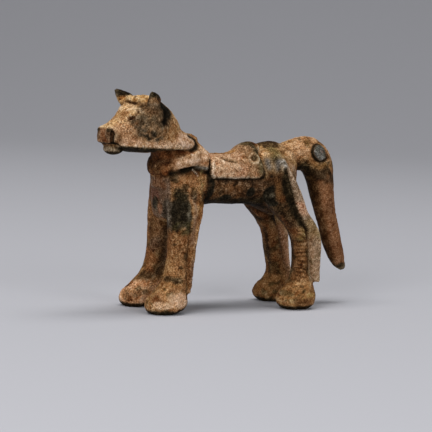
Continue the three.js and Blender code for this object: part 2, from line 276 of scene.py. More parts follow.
def both_spots(row, reach, fade=0.5, ragging=0.35):
    """The same place on both sides of the head, given in its own frame."""
    left = spot(on_head([row])[0], reach, fade, ragging)
    return np.maximum(left, spot(on_head([np.array(row) * MIRRORED])[0], reach, fade, ragging))


# The head: a broad brow with a short forelock between pricked ears, sunk eyes under a ridge,
# slit nostrils and a small shut mouth. Its crust is pale and golden, with bare dark patches, and a
# painted highlight lightens the faces of the head that turn upward.
HEAD_CRUST = (180, 140, 96)
BROW_CRUST_AND_HIGHLIGHT = (206, 166, 112)
RIDGE_CRUST = (204, 166, 120)
CREST_CRUST = (208, 172, 128)
SNOUT_SIDE = (166, 122, 90)
CHEEK_BROWN = (108, 84, 60)
CHEEK_SLATE = (66, 54, 38)
CHEEK_FLECK = (168, 134, 98)
CHEEK_PIT = (54, 40, 25)
EYE_SHADOW = (74, 60, 44)
EYE_BROWN = (70, 44, 26)
JAW_SLATE = (46, 40, 30)
FORELOCK_GOLD = (198, 154, 96)
MUZZLE_BROWN = (116, 78, 52)
CHIN_GREY = (96, 80, 60)
HOLLOW_BLACK = (16, 12, 7)
EAR_RIM = (50, 40, 28)
EAR_GOLD = (190, 140, 84)
head = ease(53.5, 55.5, z) * ease(-2, 1, forward)
crease_rows = [(16.9, -3, 70.9), (17.2, -1.2, 70.7), (17.3, 0.8, 70.5), (17.3, 2, 70.4)]
brow_crease = stroke(on_head(crease_rows), 0.5)
forelock = ease(11, 13, forward) * ease(70.6, 71.4, z) * ease(7.4, 6.4, abs(aside))
ridge_rows = [(20.4, 1.4, 68.2), (19.2, 3, 68.8), (18, 4.4, 68.5), (16.9, 5.6, 67.8)]
eye_ridge = both_on_head(ridge_rows, 0.9)
eye = both_spots((20.7, 4.4, 65.9), (1.1, 0.9, 0.5), 0.6)
corner_rows = [(22.2, 4.1, 64.9), (20.9, 4.4, 65.7), (19.9, 4.7, 66.3), (18.2, 5, 67.6)]
eye_corner = both_on_head(corner_rows, 0.4)
mouth_rows = [(28.9, 0, 56.6), (28.2, 2.4, 56.5), (26.6, 3.9, 56.4), (25.3, 4.6, 56.3)]
mouth = both_on_head(mouth_rows, 0.6)
nostril = both_on_head([(27.8, 3.2, 61.2), (27.6, 3.2, 59.3), (27.5, 3.2, 57.4)], 0.52)
relief += forelock * (0.3 * lumps(1.9, 12) + 0.25 * lumps(1.1, 9)) - 0.45 * brow_crease
relief += 0.35 * eye_ridge - 0.3 * eye - 0.35 * eye_corner - 0.4 * mouth

coat(HEAD_CRUST, 0.75 * head)
coat(RUST, 0.45 * head * ease(0.1, 0.7, lumps(2.8, 11)))
# Pale crust, with a painted highlight on the faces of the head that turn upward.
coat(BROW_CRUST_AND_HIGHLIGHT, 0.65 * head * ease(0.2, 0.7, normals[:, 2]) * ease(-0.5, 0.4, mid))
coat(RIDGE_CRUST, 0.8 * eye_ridge)
coat(BROWN, 0.75 * both_spots((21.3, 1.4, 67.1), (1.3, 1.6, 0.6), 0.8) * ease(-0.5, 0.1, small))
coat(SNOUT_SIDE, 0.5 * both_spots((22, 4.8, 60.4), (4, 2.6, 3), 1))
coat(CHEEK_BROWN, 0.75 * both_spots((13.6, 7.8, 65.4), (4.8, 3, 5), 1))
coat(CHEEK_SLATE, 0.7 * both_spots((15, 7.8, 64.6), (4, 2.6, 4), 1.2) * ease(-0.2, 0.6, lumps(1.6, 13)))
coat(BROWN, 0.6 * both_spots((7.6, 8.4, 61.6), (3.2, 2.4, 3), 0.7) * ease(-0.4, 0.4, lumps(1.5, 14)))
under_eye = both_spots((18.3, 6.4, 64.2), (2.3, 1.8, 1.5), 0.9)
coat(EYE_SHADOW, 0.8 * under_eye * ease(-0.6, 0, lumps(1.1, 19)))
dark_jaw = both_spots((16, 7.6, 60.6), (2.3, 1.8, 1), 0.9, 0.6)
dark_jaw = np.maximum(dark_jaw, both_spots((13.6, 8, 59.1), (2.3, 1.8, 0.8), 0.9, 0.6))
coat(JAW_SLATE, 0.85 * dark_jaw * ease(-0.6, 0, lumps(1.1, 20)))
cheek = both_spots((12.6, 7.8, 64.6), (4.6, 3, 5.2), 1)
coat(CHEEK_FLECK, 0.55 * cheek * ease(0.2, 0.6, lumps(0.9, 23)))
coat(CHEEK_PIT, 0.5 * cheek * ease(0.25, 0.6, lumps(0.9, 24)))
coat(EYE_BROWN, 0.7 * eye + 0.6 * eye_corner)
coat(FORELOCK_GOLD, 0.8 * forelock)
coat(UMBER, 0.7 * forelock * ease(0.3, 0.7, lumps(1.3, 15)))
coat(UMBER, 0.9 * brow_crease)
coat(UMBER, 0.8 * spot(on_head([(17.3, 1.8, 70.3)])[0], (0.9, 1, 0.5), 0.8))
crest_rows = [(18.5, -3.4, 69.2), (18.8, -1.6, 69.2), (18, 2.2, 69.7)]
coat(CREST_CRUST, 0.7 * stroke(on_head(crest_rows), 0.8, 0.5))

# The muzzle is reddish with slit nostrils, and the chin under it is grey and worn, with painted
# shade black along its underside.
muzzle = ease(26.8, 28, forward) * ease(54, 56, z) * ease(62.6, 61.6, z)
coat(MUZZLE_BROWN, 0.85 * muzzle)
coat(RUST, 0.6 * muzzle * ease(2.2, 1, abs(aside)) * ease(-0.3, 0.3, small))
coat(SLATE, 0.4 * both_spots((28.8, 2.4, 60.4), (1.2, 0.8, 1.6), 0.7))
coat(UMBER, 0.5 * both_spots((26.4, 4, 58.4), (1.2, 1, 1.6), 0.9))
coat(BLACK, 1.1 * nostril + mouth + 0.7 * both_spots((28.8, 2.6, 61.6), (0.8, 0.8, 0.4), 0.8))
chin = ease(57, 56, z) * ease(20.4, 21.4, forward) * ease(4.6, 3.8, abs(aside))
coat(CHIN_GREY, 0.85 * chin)
# Painted shade: the underside of the chin is black.
coat(BLACK, 0.9 * chin * ease(54.9, 54.2, z))

# A deep hollow behind each ear, painted black, runs down the side of the nape.
wedge_rows = [
    (12.8, 8.4, 72.4), (11.1, 7.6, 71.3), (9.4, 6.9, 69.8), (8.3, 6.8, 68.4),
    (8.1, 7.4, 67), (8.6, 7.9, 65.8), (9.2, 8.3, 64.4),
]
ear_hollow = both_on_head(wedge_rows, 1.1)
nape_rows = [(9.4, 6, 71.2), (7.6, 5.6, 70), (6.9, 6.2, 68.4), (7.5, 7.1, 66.9)]
crown_rows = [(9, 4.6, 71.9), (6.6, 4.6, 70.4), (5.2, 5.4, 68.6)]
ear_hollow = np.maximum(ear_hollow, both_on_head(nape_rows, 2, 0.4))
ear_hollow = np.maximum(ear_hollow, both_on_head(crown_rows, 1.1, 0.3))
relief -= 0.45 * ear_hollow
coat(HOLLOW_BLACK, 1.5 * ear_hollow)
ears = ease(4.8, 6, abs(aside)) * ease(70.4, 71, z)
coat(BROWN, 0.6 * ears)
coat(BLACK, ears * ease(72.3, 73.1, z + 0.5 * ragged))
coat(EAR_RIM, 0.85 * both_on_head([(17, 8, 73.6), (16.8, 7.4, 72), (16.2, 6.8, 70.2)], 0.8))
coat(EAR_GOLD, 0.75 * spot(on_head([(16, -6.8, 70.9)])[0], (1.8, 1.3, 1.1), 0.7, 0.5))

# The rein is a thick rounded band from the corners of the mouth back along the jaws.
# It ends in a round lobe behind the neck. A deep gap runs under its whole length, and the underside
# is painted black, partly as black patina and partly as shade.
REIN_CRUST = (194, 158, 126)
REIN_ROWS = [(24.4, 5, 57.6), (19, 7.4, 57.4), (12, 9.3, 57.2), (5, 9.5, 57.4), (-2, 8.6, 57.8)]
rein_top = both_on_head(REIN_ROWS, 1.3)
foot_rows = [(25, 3.6, 55.3), (20, 5.8, 55), (13, 8, 54.7), (5, 8.2, 54.6), (-1.5, 8.6, 54.5)]
rein_foot = both_on_head([*foot_rows, (-5, 8.2, 55), (-7.2, 6.8, 56.4)], 0.75)
end_rows = [(-3.3, 7.1, 59.9), (-5.6, 6.8, 59.1), (-6.3, 7.3, 57.6), (-5.2, 8.5, 56.1), (-3, 9.2, 54.8)]
lobe_end = both_on_head(end_rows, 0.85, 0.3)
lobe = both_spots((-1.6, 7.6, 57.8), (4, 3, 2.6), 0.6)
relief += 0.15 * rein_top - 0.45 * rein_foot - 0.45 * lobe_end + 0.2 * lobe
coat(REIN_CRUST, 0.7 * rein_top + 0.9 * lobe)
coat(BROWN, 0.55 * np.maximum(rein_top, lobe) * ease(0.1, 0.6, lumps(1.1, 16)))
# The rein's underside: black patina and painted shade.
under_rein_shade_and_patina = ease(56.9, 56.2, z + 0.055 * (25 - forward) + 0.15 * ragged) * ease(53.9, 54.4, z)
under_rein_shade_and_patina *= ease(-8, -5, forward) * ease(1, 0, forward - 23.4 - 1.4 * ease(3.6, 4.4, abs(aside)))
coat(BLACK, 1.2 * under_rein_shade_and_patina)
coat(BLACK, 1.1 * rein_foot + 1.1 * lobe_end)

# The breast collar circles the foot of the neck, low in front and high on the withers, with a deep
# crevice under it that is painted black as shade. Its front is reddish and bare, its sides carry a
# pale crust.
NECK_RED = (128, 80, 46)
BAND_CRUST = (216, 174, 134)
BAND_LIGHT = (210, 172, 136)
BAND_SHADE = (118, 84, 58)
FRONT_STAIN = (58, 34, 18)
SCALE_GREY = (94, 94, 88)
NICK_METAL = (196, 178, 152)
CREVICE = [
    (-24.6, -7.1, 46.9), (-22.4, -8.3, 47.4), (-20.3, -8.5, 48.1), (-18.2, -8.8, 49.1),
    (-15.7, -8.6, 48.6), (-13.4, -8.5, 48.1), (-10.6, -8.4, 47.4),
]
crevice = both(CREVICE, 0.75, 0.45)
CREVICE_FRONT = [(-24.2, -7.5, 46.8), (-22.4, -8.3, 47), (-20.3, -8.5, 47.7), (-18.2, -8.8, 48.5)]
crevice_shade = both(CREVICE_FRONT, 1, 0.5)
front_seam = both([(-26.9, -3.6, 45.7), (-25.5, -5.7, 46.1), (-24.4, -7.3, 46.9)], 0.5, 0.3)
WITHERS = [(-10.8, -1.5, 54.3), (-9.6, -4.6, 53.3), (-8.9, -6.4, 51.5), (-10.2, -7.8, 49.6)]
withers = both([*WITHERS, (-10.6, -8.3, 47.7)], 0.55)
# The groove between the shoulder and the belly, behind the collar, is blackened as painted shade.
girth = both([(-10.6, -8.3, 47), (-10.6, -8.5, 45.4), (-10.9, -8.5, 42.6), (-11.6, -8, 39.8)], 0.8, 0.3)
nick = stroke([(-16.8, -8.7, 48.6), (-16, -8.7, 47.6), (-15.3, -8.7, 46.6)], 0.2, 0)
relief += 0.3 * nick - 0.6 * crevice - 0.15 * front_seam - 0.5 * withers - 0.4 * girth

neck_side = ease(45.6, 46.6, z) * ease(55.4, 54.4, z) * ease(-31, -30, x) * ease(-9.2, -10, x)
coat(NECK_RED, 0.9 * neck_side)
coat(UMBER, 0.6 * neck_side * ease(-0.3, 0.5, lumps(2.2, 17)))
coat(UMBER, 0.5 * neck_side * ease(-26, -28.5, x))
PALE_BAND = [
    (-24.4, -8.3, 49.6), (-21.8, -9.7, 50.8), (-17, -9.5, 51.3), (-13, -7.4, 52), (-10.6, -3, 53.6),
]
BAND_CREST = [(-22, -9.3, 50.8), (-18, -9.8, 51.4), (-14, -8, 52.2), (-11, -4.6, 53.2)]
BAND_FOOT = [(-23, -8.9, 49.8), (-19, -9.8, 50.3), (-15.4, -9.2, 50.6), (-12, -6.8, 51.4)]
pale_band = both(PALE_BAND, 1.9, 0.5)
coat(BAND_CRUST, 1.1 * pale_band * ease(-25, -22.5, x + 0.8 * ragged))
coat(BAND_LIGHT, 0.6 * both(BAND_CREST, 0.5, 0.3))
coat(BAND_SHADE, 0.6 * both(BAND_FOOT, 0.35, 0.4))
coat(TAN, 0.9 * both([(-18, -9.4, 53.4), (-14.6, -7.4, 53.8), (-12.4, -4, 54.6)], 1.6, 0.4))
coat(BROWN, 0.55 * neck_side * ease(0.1, 0.6, lumps(1.4, 18)) * ease(-25, -22, x))
coat(FRONT_STAIN, 0.8 * both([(-28, -3.6, 51), (-26.6, -6, 51), (-25.2, -7.6, 51.2)], 1.3, 0.5))
coat(SCALE_GREY, 0.85 * both([(-15.6, -8.6, 49.4), (-13, -8.3, 49.2), (-10.8, -8, 48.6)], 0.8, 0.3))
coat(UMBER, 0.9 * front_seam)
# Painted shade blackens the collar's crevice and the girth groove; the withers line is black too.
coat(BLACK, 0.95 * crevice + 0.95 * crevice_shade + 0.8 * withers + 0.85 * girth)
coat(NICK_METAL, 0.7 * nick)

# The saddle cloth is a padded panel over the back, raised behind, with a low rim along its edge.
# It has a fold across its front, and a small ring with a dot near its rear edge on each side, with a
# painted highlight on the ring's lower rear side.
CLOTH_CRUST = (182, 142, 106)
CLOTH_RED = (164, 114, 82)
CLOTH_PIT = (116, 80, 52)
CLOTH_REAR = (134, 104, 70)
CLOTH_LIGHT = (200, 162, 122)
FOLD_SHADE = (96, 76, 52)
CORNER_RUST = (150, 98, 64)
REAR_OLIVE = (76, 63, 38)
REAR_BROWN = (118, 86, 58)
RING_SHADE = (94, 78, 54)
RING_HIGHLIGHT = (190, 156, 112)
PEAK_OLIVE = (70, 56, 34)
FLAP_FRONT = [(-9.8, -6.4, 51.4), (-9.9, -8, 49.6), (-10.2, -8.6, 47.6), (-9.9, -8.9, 45.9)]
FLAP_FOOT = [(-8.2, -8.8, 45), (0, -8.2, 44.9), (8.2, -8.5, 44.9), (10.8, -8.9, 45.8)]
FLAP_REAR = [(11.2, -9.1, 48.2), (10.6, -8.6, 50.6), (9.7, -8, 52.7), (9, -6.6, 54.9), (9, -3, 57)]
RIM = [
    (-8.2, -5.6, 52), (-8.9, -7.6, 50.3), (-9.2, -8.7, 48), (-8.4, -8.9, 46.3), (0, -8.6, 46),
    (7.8, -9, 46), (9.8, -9, 46.9), (10, -9.1, 48.4),
]
flap_edge = both([*FLAP_FRONT, *FLAP_FOOT, *FLAP_REAR], 0.5)
flap_shade = both(FLAP_FOOT, 0.9, 0.3)
rim = both(RIM, 0.65, 0.4)
FOLD = [(-7.5, -5.1, 52.2), (-5.7, -6.2, 51.6), (-3.5, -7.3, 50.7), (-1, -7.7, 50), (1.5, -8.2, 49.1)]
fold = both(FOLD, 0.9, 0.5)
fold_dip = both([(-3.8, -5.8, 52), (-1.6, -6.6, 51.4), (0.6, -7, 51.1)], 0.8, 0.5)
RING_PLACE = np.array([7.1, -7.8, 52.5])
RING_RADIUS = 1.75
RING_WIDTH = 0.42
folded = np.column_stack([x, -abs(y), z]) - RING_PLACE
ring_away = np.linalg.norm(folded, axis=1)
ring = np.exp(-((ring_away - RING_RADIUS + 0.15 * small) / RING_WIDTH) ** 2)
ring_dip = ease(1.4, 0.8, ring_away + 0.2 * small)
dot = ease(0.6, 0.3, ring_away)
relief += 0.14 * rim + 0.2 * fold - 0.3 * fold_dip - 0.5 * flap_edge
relief += 0.25 * ring - 0.3 * ring_dip + 0.3 * dot

flap = ease(44.8, 45.5, z) * ease(-10.2, -9.2, x) * ease(11.4, 10.6, x)
flap *= ease(10.6, 9.6, x + 0.5 * np.clip(z - 49, 0, 5)) * ease(7, 8.2, abs(y) + np.clip(z - 48, 0, 9))
coat(CLOTH_CRUST, 0.95 * flap)
coat(CLOTH_RED, 0.6 * flap * ease(-0.3, 0.6, lumps(3.4, 21)))
coat(CLOTH_PIT, 0.7 * flap * ease(0.1, 0.5, lumps(0.9, 22)))
coat(CLOTH_REAR, 0.5 * flap * ease(2, 6, x + 0.7 * mid))
coat(CLOTH_LIGHT, 0.6 * flap * ease(-3, -5.5, x) * ease(-0.6, 0.2, small) + 0.12 * rim + 0.6 * fold)
coat(FOLD_SHADE, 0.8 * fold_dip)
coat(CORNER_RUST, 0.6 * both([(8.6, -8.9, 48.9), (8.2, -8.9, 47.6), (7.6, -8.9, 46.8)], 1))
coat(GREY, 0.5 * both([(-9.4, -8.9, 46.6), (-7.6, -9, 45.6), (-1, -8.5, 45.6), (5, -8.6, 45.6)], 0.5))
REAR_BAND = [(8.2, -6.4, 55.2), (8.8, -7.4, 53.6), (9.4, -8.2, 51.6), (9.2, -8.7, 49.8), (9.6, -9, 48)]
coat(REAR_OLIVE, 0.9 * both(REAR_BAND, 1.4, 0.6))
coat(REAR_BROWN, 0.6 * flap * ease(3, 6, x + 0.6 * mid) * ease(50, 53, z))
# Painted highlight on the ring's lower rear side.
lit_side = ease(-1.6, 1, folded[:, 0] - folded[:, 2])
coat(RING_SHADE, 0.8 * ring_dip)
coat(RING_HIGHLIGHT, (0.15 + 0.6 * lit_side) * ring)
PEAK_EDGE = [(8.2, -2, 57.2), (8.1, -4.6, 56.3), (8.5, -6.6, 54.8)]
REAR_EDGE = [
    (9.3, -7.9, 52.8), (10.2, -8.8, 50.6), (10.9, -9.1, 48.5), (10.7, -9.1, 46.4), (8.8, -8.3, 45),
]
coat(BLACK, 0.95 * both([*PEAK_EDGE, *REAR_EDGE], 0.7, 0.4))
coat(BLACK, 0.8 * both(PEAK_EDGE, 1, 0.4))
coat(BLACK, 0.9 * flap_edge * ease(9, 8, x) + 0.95 * flap_shade)
coat(PEAK_OLIVE, 0.85 * ease(56.2, 57, z + 0.2 * ragged) * ease(2, 4, x) * ease(9.6, 9, x))

# The trunk between the legs is the plain cast barrel, left without carving. Its skin is dark and
# bare, reddish along the ribs with remains of a pale crust, and nearly black below, where dark
# patina and painted shade meet under the belly.
RIB_BROWN = (84, 57, 35)
RIB_RED = (116, 76, 44)
RIB_CRUST = (142, 112, 84)
RIB_FLECK = (158, 118, 80)
RIB_PIT = (40, 27, 15)
FLANK_SHADE = (58, 40, 26)
ribs = ease(45.4, 44.4, z) * ease(34, 35.5, z) * ease(-12, -11, x) * ease(17, 14, x)
coat(RIB_BROWN, 0.9 * ribs)
coat(RIB_RED, 0.6 * ribs * ease(0, 0.5, lumps(2.2, 31) + 0.3 * small) * ease(38, 40, z))
coat(RIB_CRUST, 0.6 * ribs * ease(0.2, 0.6, lumps(1.3, 32)) * ease(39, 41, z))
coat(UMBER, 0.7 * ribs * ease(0.1, 0.6, lumps(2.4, 33)))
coat(RIB_FLECK, 0.55 * ribs * ease(0.42, 0.7, lumps(0.9, 34)) * ease(38, 40, z))
coat(RIB_PIT, 0.7 * ribs * ease(0.35, 0.6, lumps(1.2, 35)))
coat(FLANK_SHADE, 0.5 * ribs * ease(3, 7, x + 2 * mid) + 0.3 * ribs * ease(43, 45, z + 0.5 * ragged))
# Dark patina and painted shade on the lower belly.
coat(BLACK, 0.9 * ribs * ease(39.8, 38, z + ragged))

# The croup swells behind the saddle, dark on top. A broad raised strip leaves it on each side
# and runs down over the hock, with a deep groove before it and a small worn boss at its head.
CROUP_GOLD = (158, 120, 74)
CROUP_CRUST = (194, 154, 110)
CROUP_LIGHT = (216, 184, 140)
CROUP_OLIVE = (104, 88, 52)
CROUP_GREY = (98, 94, 90)
CROUP_DARK = (50, 34, 16)
HIP_GREY = (90, 88, 86)
HIP_BROWN = (82, 58, 36)
HIP_PIT = (48, 36, 24)
DOCK_CRUST = (184, 144, 104)
THIGH_BROWN = (60, 42, 25)
THIGH_GOLD = (112, 76, 42)
BARE_BLACK = (22, 19, 13)
STRIP_HEAD = (170, 134, 98)
STRIP_CRUST = (148, 119, 93)
STRIP_MOTTLE = (104, 82, 60)
STRIP_PINK = (190, 140, 104)
STRIP_OLIVE = (130, 104, 62)
STRIP_FOOT = (166, 135, 104)
FOOT_MOTTLE = (98, 78, 50)
GROOVE_BROWN = (50, 39, 24)
BOSS_GREY = (124, 122, 118)
croup = ease(10, 11, x) * ease(27, 24, x) * ease(45.5, 48, z)
HOCK_EDGE = [
    (18.4, -10.2, 48.6), (19, -10.9, 46), (20, -11.2, 43), (21.4, -11.3, 38.3),
    (23.3, -11.2, 34.1), (25.6, -11.2, 30.6), (27.4, -11.2, 27.7),
    (28.1, -11.8, 22.5), (28.1, -12.2, 17.3), (28, -12.7, 12.4),
]
edge_x, edge_y, edge_z = np.array(HOCK_EDGE[::-1]).T
# On the right leg the strip lies further forward above the fetlock.
RIGHT_LEAN = 1.8
leaning = np.stack([edge_x - RIGHT_LEAN * ease(10, 19, edge_z), -edge_y, edge_z], axis=1)
hock_edge = np.maximum(stroke(HOCK_EDGE, 0.7), stroke(leaning, 0.7))
behind = x - np.interp(z, edge_z, edge_x) + RIGHT_LEAN * ease(10, 19, z) * ease(-1, 1, y)
behind += 0.12 * ragged
outer = ease(7.4, 8.4, abs(y)) * ease(7.6, 8.6, z)
strip = ease(0, 0.7, behind) * outer * ease(52, 49, z)
strip *= ease(34.8, 34.2, x - 0.2 * np.clip(30 - z, -9, 0))
hock_shade = ease(-3.1, -2.1, behind - 0.28 * np.clip(z - 42, 0, 8)) * ease(0.7, 0.1, behind) * outer
hock_shade *= ease(50, 48.5, z) * ease(27.4, 29.4, z)
boss = both([(18, -9.8, 51.4), (18.1, -9.9, 50.4)], 1.1, 0.3)
relief += 0.3 * boss - (0.3 + 0.3 * ease(20, 28, z)) * hock_edge
coat(CROUP_GOLD, 0.8 * croup * ease(-0.7, 0.2, mid))
coat(CROUP_CRUST, 0.85 * both([(11, -5.6, 54.6), (13, -6, 53.4)], 1.8, 0.4))
coat(CROUP_LIGHT, 0.7 * both([(9.8, -4.6, 55.8), (10.4, -6.6, 54.4)], 0.7, 0.3))
coat(CROUP_OLIVE, 0.85 * both([(15.4, -5, 55), (16.6, -6.8, 54), (15.4, -7.4, 52.6)], 1.9, 0.5))
coat(CROUP_GREY, 0.85 * both([(12.4, -7.8, 51.4), (12.8, -8.2, 49.2)], 1.4, 0.4))
coat(HIP_GREY, 0.85 * both([(16.4, -9, 51.6), (16, -9.2, 49)], 1.7, 0.4))
coat(CROUP_DARK, 0.92 * spot((16.2, -1, 57.6), (3.8, 4.6, 1.2), 1, 0.9))
coat(DOCK_CRUST, 0.8 * spot((24, -4.5, 55), (4.4, 4.2, 3), 0.8) * ease(-0.7, 0.1, mid))
thigh = ease(46, 43, z) * ease(27, 29.5, z) * ease(12, 14, x) * ease(33, 31, x)
coat(THIGH_BROWN, 0.9 * thigh)
coat(RUST, 0.6 * thigh * ease(0, 0.6, lumps(2.8, 41)))
coat(BLACK, 0.6 * thigh * ease(0.1, 0.6, lumps(3.4, 42)))
hip = ease(49, 46.5, z) * ease(42.5, 45, z) * ease(11.4, 12.4, x) * ease(25, 22, x)
coat(HIP_BROWN, 0.8 * hip * (1 - strip))
coat(HIP_PIT, 0.6 * hip * (1 - strip) * ease(-0.1, 0.4, lumps(1.7, 45)))
# Bare black spots, where the crust has broken away from the flanks, the girth and the thigh.
for place, reach in (
    ((13.2, -8.8, 39.4), (1.6, 2.6, 2.9)),
    ((14, -9, 42.2), (1, 2, 0.9)),
    ((14.6, -9.2, 37), (1.2, 2.4, 0.9)),
    ((6.6, -7.4, 40.6), (1.7, 2.5, 1.4)),
    ((-2.4, -6.9, 38.8), (2, 2.5, 1.1)),
    ((-9.6, -8, 42), (1.2, 2.5, 3.4)),
    ((9, 7.6, 41), (2.6, 2.5, 2.2)),
    ((-3, 7.6, 40), (2.4, 2.5, 1.6)),
):
    coat(BARE_BLACK, 0.95 * spot(place, reach, 0.4))
coat(THIGH_GOLD, 0.7 * both([(16.2, -9.4, 44.4), (16.2, -9.7, 42.4), (16.2, -10, 39.6)], 1.2, 0.7))

# The strip is pale above, pinkish at the hock and mottled olive below it. The groove is black.
coat(STRIP_CRUST, 0.9 * strip)
coat(STRIP_FOOT, 0.8 * strip * ease(31, 29, z))
coat(STRIP_MOTTLE, 0.5 * strip * ease(0.1, 0.6, lumps(1.9, 43)))
coat(STRIP_PINK, 0.8 * strip * ease(38.5, 37, z) * ease(32, 34.5, z))
coat(FOOT_MOTTLE, 0.6 * strip * ease(32, 30, z) * ease(0.1, 0.5, lumps(1.2, 44)))
coat(STRIP_OLIVE, 0.5 * strip * ease(33, 30.5, z + mid) * ease(23.5, 26.5, z + mid))
coat(STRIP_HEAD, 0.7 * both([(20.2, -8.3, 53), (20.7, -8.7, 50.6), (21.4, -9.4, 48.2)], 0.7))
coat(BLACK, 0.95 * hock_edge * ease(24, 29, z) + 0.97 * hock_shade)
coat(GROOVE_BROWN, (0.55 + 0.3 * ease(22, 28, z)) * hock_edge)
coat(BOSS_GREY, 0.85 * boss)
boss_pit = both([(18, -9.9, 51.1), (18.1, -9.9, 50.9)], 0.4, 0.1)
coat(BLACK, 0.8 * boss_pit)

# The legs are stout cast pillars with a raised strip down the back of each. They are tan and
# reddish, with a bare black oval on the left shoulder and dark stains about the fetlocks.
FORE_TAN = (138, 97, 62)
SHOULDER_TAN = (138, 94, 60)
SHOULDER_GOLD = (150, 120, 74)
CHEST_GREY = (104, 82, 66)
CHEST_PINK = (112, 72, 58)
CHEST_SLATE = (44, 40, 28)
CHEST_STREAK = (152, 108, 80)
FORE_STRIP = (148, 118, 94)
OVAL_FRONT = (74, 64, 52)
OVAL_REAR = (50, 46, 36)
OVAL_BLACK = (24, 20, 13)
OVAL_BROWN = (56, 46, 32)
OVAL_TOP = (40, 34, 20)
OVAL_FOOT = (58, 50, 28)
ELBOW_GREEN = (150, 134, 84)
FETLOCK_STAIN = (52, 40, 24)
FAR_KNEE = (112, 78, 52)
INNER_SHADE = (52, 36, 23)
INNER_STAIN = (62, 44, 32)
HEEL_STRIP = (112, 86, 70)
SHIN_RED = (108, 71, 41)
SHIN_OLIVE = (56, 44, 24)
SHIN_SHADE = (46, 32, 19)
HOCK_GOLD = (134, 104, 54)
FAR_STRIP = (158, 114, 84)
SCALE_PITCH = 1.1
STRIAE_PITCH = 1.45
FORE_STRIP_PATH = [(-17, -10.9, 39.5), (-16.5, -11.1, 35), (-16.7, -11, 30), (-17, -10.9, 24)]
FAR_STRIP_PATH = [(28.3, 7.9, 26.6), (30.2, 8, 21.8), (31.3, 8.1, 18.2), (32, 8.1, 13.8)]
chest = ease(-24.4, -25.4, x) * ease(46.5, 45, z) * ease(26, 30, z)
oval = spot((-22.6, -10.8, 34.8), (2.3, 3, 5.4), 0.5, 0.35)
oval_top = spot((-21.9, -10.2, 40.4), (2, 3, 1.9), 0.7)
scales = ease(-0.2, 0.5, np.sin(2 * np.pi * (z + 0.25 * mid) / SCALE_PITCH))
fore_edge = both([
    (-18.3, -10.6, 41), (-18.1, -11.3, 36.9), (-18.6, -11.9, 31.9), (-18.9, -12, 26.8),
    (-19.3, -12, 20), (-19.5, -12.1, 13), (-18.9, -12, 7.6),
], 0.5, 0.4)
relief -= 0.35 * oval + 0.2 * fore_edge + 0.08 * oval_top * scales
fore_face = ease(-7, -9, y) * ease(30, 27, z) * ease(9, 12, z) * ease(-15, -17, x)
coat(FORE_TAN, 0.5 * fore_face)
shoulder = spot((-19.6, -9, 42.4), (7.4, 4, 4), 0.5)
coat(SHOULDER_TAN, 0.65 * shoulder)
coat(SHOULDER_GOLD, 0.5 * shoulder * ease(0.2, 0.7, lumps(1.7, 53)))
coat(CHEST_GREY, 0.85 * chest)
coat(RUST, 0.5 * chest * ease(0, 0.5, lumps(2.6, 51)))
coat(CHEST_PINK, 0.6 * spot((-26, 1.7, 39.3), (1.6, 2.6, 1.6), 0.7))
coat(CHEST_SLATE, 0.8 * spot((-25.9, 0.8, 36.3), (1.6, 1.6, 1.8), 0.7))
chest_streak = stroke([(-25.9, -1.4, 35.6), (-25.6, -3.2, 33.7), (-24.6, -3, 31.6)], 0.9, 0.4)
coat(CHEST_STREAK, 0.75 * chest_streak)
coat(FORE_STRIP, 0.75 * both(FORE_STRIP_PATH, 1.4, 0.5))
coat(OVAL_FRONT, 0.9 * spot((-25, -7.4, 33.4), (1.9, 3.2, 4.4), 0.5, 0.5))
coat(OVAL_REAR, 0.9 * spot((-20.2, -11.6, 33.6), (1.7, 2, 4.2), 0.6, 0.5))
coat(OVAL_BLACK, 0.95 * oval)
coat(OVAL_BROWN, 0.5 * oval * ease(0.2, 0.7, lumps(1.6, 54)))
coat(OVAL_TOP, (0.3 * scales + 0.5) * oval_top)
coat(OVAL_FOOT, 0.8 * spot((-21.6, -12, 29), (3.2, 2, 1.8), 0.8) * ease(-0.6, 0.1, lumps(1.4, 57)))
coat(ELBOW_GREEN, 0.55 * spot((-13.4, -8.7, 45.2), (1, 1.4, 2.6), 0.7) * ease(-0.3, 0.4, small))
# Dark ragged stains, small on the shoulder and larger about the fetlocks.
for place, reach in (
    ((-23.6, -8.8, 44.8), (0.7, 1.2, 0.5)),
    ((-20.2, -9.9, 43), (0.9, 1.2, 0.6)),
    ((-24, -8, 46), (1, 1.2, 0.8)),
    ((-17.2, -10.6, 40.5), (0.9, 1.2, 1.5)),
    ((-12.9, -8.9, 39.7), (1, 1.2, 1.3)),
    ((-20, -12.1, 19.4), (0.6, 1.2, 0.8)),
    ((-21.8, -12.5, 15.8), (0.6, 1.2, 0.3)),
    ((-24, -11.1, 23.6), (0.3, 1.2, 0.3)),
    ((-25.8, -11.4, 12), (1.4, 1.6, 0.6)),
    ((-23.4, -13, 11.6), (1.3, 1.4, 0.8)),
    ((-25, -14.1, 7.6), (0.8, 1.4, 0.4)),
    ((-26.4, 5.9, 10.3), (1.8, 2, 1.5)),
    ((-29.5, 5, 5.4), (2.4, 2, 0.9)),
    ((-24.6, 13, 12), (2, 1.8, 1.2)),
):
    coat(FETLOCK_STAIN, 0.65 * spot(place, reach, 1.1, 0.8))
far_knee = spot((-23.6, 4.6, 27), (2.4, 3, 5), 0.5)
coat(FAR_KNEE, 0.7 * far_knee)
coat(UMBER, 0.6 * far_knee * ease(-0.1, 0.4, lumps(1.8, 56)))
# Painted shade down the inner rear of each fore leg.
inner_leg_shade = both([(-19.6, 4.2, 27), (-20, 4.3, 20), (-20.6, 4.4, 15.5), (-22, 4.3, 12)], 1.9, 0.6)
coat(INNER_SHADE, 0.85 * inner_leg_shade)
coat(INNER_STAIN, 0.5 * spot((-23.1, 5.2, 21.4), (1.4, 2, 2), 1))
coat(UMBER, 0.5 * fore_edge * ease(30, 24, z))
coat(HEEL_STRIP, 0.6 * both([(-16.4, -10.6, 18), (-16.8, -10.8, 12), (-17, -10.8, 7.6)], 1.2, 0.4))

